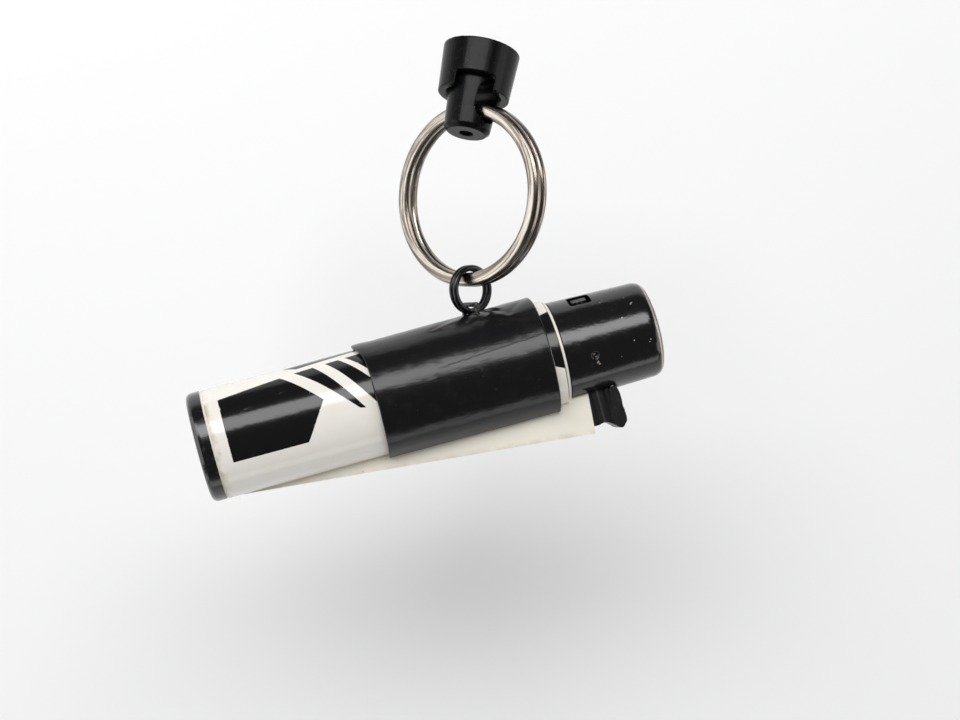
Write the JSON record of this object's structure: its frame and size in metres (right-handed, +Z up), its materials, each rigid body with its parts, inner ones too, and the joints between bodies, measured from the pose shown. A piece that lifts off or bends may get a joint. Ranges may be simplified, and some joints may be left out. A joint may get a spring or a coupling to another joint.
{
  "type": "gas lighter on key ring",
  "caption": "Cylindrical refillable gas lighter with a side rib and push button, held in a black sleeve with an eyelet and hung by split rings from a cord swivel.",
  "frame": {"origin": "mouth of the cord bore in the top face of the swivel collar, the point the object hangs from", "axes": "+Z straight up against gravity, +X towards the lighter's hood end as it hangs, +Y away from the side with the printed film facing the viewer"},
  "size_m": [0.0749, 0.0247, 0.0728],
  "materials": {
    "swivel_nylon": "satin",
    "plain_steel": "satin",
    "ring_steel": "polished, worn",
    "black_steel": "satin",
    "worn_steel": "worn",
    "sleeve_rubber": "satin",
    "print_film": "gloss, printed black and white",
    "aged_nylon": "satin, yellowed",
    "black_gloss": "gloss",
    "seal_rubber": "matt",
    "valve_brass": "machined",
    "wick_felt": "felt",
    "grey_nylon": "satin",
    "burner_alloy": "die cast zinc alloy, satin",
    "burner_steel": "heat stained",
    "lead_plastic": "satin",
    "piezo_ceramic": "matt",
    "white_acetal": "satin",
    "button_black": "matt",
    "hood_paint": "gloss black, chipped"
  },
  "bodies": {
    "collar": {"swivel_collar": "swivel_nylon"},
    "post": {"swivel_post": "swivel_nylon", "post_washer": "plain_steel"},
    "large_ring": {"key_ring": "ring_steel"},
    "small_ring": {"link_ring": "black_steel"},
    "lighter": {"eyelet": "worn_steel", "sleeve": "sleeve_rubber", "print_film": "print_film", "tank_shell": "aged_nylon", "base_plug": "black_gloss", "base_seal": "seal_rubber", "refill_body": "valve_brass", "refill_seal": "seal_rubber", "wick": "wick_felt", "valve_body": "valve_brass", "valve_seal": "seal_rubber", "lever_pin": "plain_steel", "burner_tube": "burner_alloy", "burner_head": "burner_steel", "electrode": "plain_steel", "electrode_lead": "lead_plastic", "piezo_case": "lead_plastic", "piezo_crystal": "piezo_ceramic", "piezo_anvil": "burner_alloy", "hood": "hood_paint"},
    "button": {"push_button": "button_black", "piezo_plunger": "white_acetal", "return_spring": "plain_steel", "hammer_spring": "plain_steel"},
    "hammer": {"piezo_hammer": "burner_alloy"},
    "lever": {"release_lever": "plain_steel"},
    "gas_stem": {"valve_stem": "valve_brass", "valve_spring": "plain_steel"},
    "adjuster": {"flame_adjuster": "grey_nylon"},
    "refill": {"refill_stem": "valve_brass", "refill_spring": "plain_steel"}
  },
  "joints": [
    {"name": "swivel_spin", "type": "hinge", "parent": "collar", "child": "post", "pos_m": [-0.00179, -0.00213, -0.00971], "axis": [0.1772, 0.2112, 0.9613], "continuous": true},
    {"name": "ring_swing", "type": "hinge", "parent": "post", "child": "large_ring", "pos_m": [-0.00179, -0.00213, -0.00971], "axis": [0.766, -0.6428, 0], "range_deg": [-60, 60]},
    {"name": "small_ring_slide", "type": "hinge", "parent": "large_ring", "child": "small_ring", "pos_m": [-0.00179, -0.00213, -0.02311], "axis": [-0.6428, -0.766, 0], "range_deg": [-60, 60]},
    {"name": "lighter_swing", "type": "hinge", "parent": "small_ring", "child": "lighter", "pos_m": [-0.00179, -0.00213, -0.03806], "axis": [0.6428, -0.766, 0], "range_deg": [-30, 30]},
    {"name": "button_press", "type": "slide", "parent": "lighter", "child": "button", "axis": [-0.9593, -0.1184, -0.2565], "range_m": [0, 0.0026], "stiffness_N_per_m": 600, "deforming": ["return_spring", "hammer_spring"]},
    {"name": "hammer_strike", "type": "slide", "parent": "lighter", "child": "hammer", "axis": [-0.9593, -0.1184, -0.2565], "range_m": [0, 0.0004]},
    {"name": "lever_tilt", "type": "hinge", "parent": "lighter", "child": "lever", "pos_m": [0.01131, -0.00091, -0.05129], "axis": [-0.1144, 0.993, -0.0306], "range_deg": [0, 10]},
    {"name": "valve_lift", "type": "slide", "parent": "lighter", "child": "gas_stem", "axis": [0.9593, 0.1184, 0.2565], "range_m": [0, 0.0007], "stiffness_N_per_m": 300, "deforming": ["valve_spring"]},
    {"name": "flame_adjust", "type": "hinge", "parent": "lighter", "child": "adjuster", "pos_m": [0.00774, -0.00123, -0.04831], "axis": [0.9593, 0.1184, 0.2565], "range_deg": [-7, 7]},
    {"name": "refill_press", "type": "slide", "parent": "lighter", "child": "refill", "axis": [0.9593, 0.1184, 0.2565], "range_m": [0, 0.0009], "stiffness_N_per_m": 300, "deforming": ["refill_spring"]}
  ],
  "couplings": [
    {"joint": "hammer_strike", "follows": "button_press", "ratio": 0.15385},
    {"joint": "lever_tilt", "follows": "button_press", "rad_per_m": 67.128},
    {"joint": "valve_lift", "follows": "button_press", "ratio": 0.26923}
  ]
}
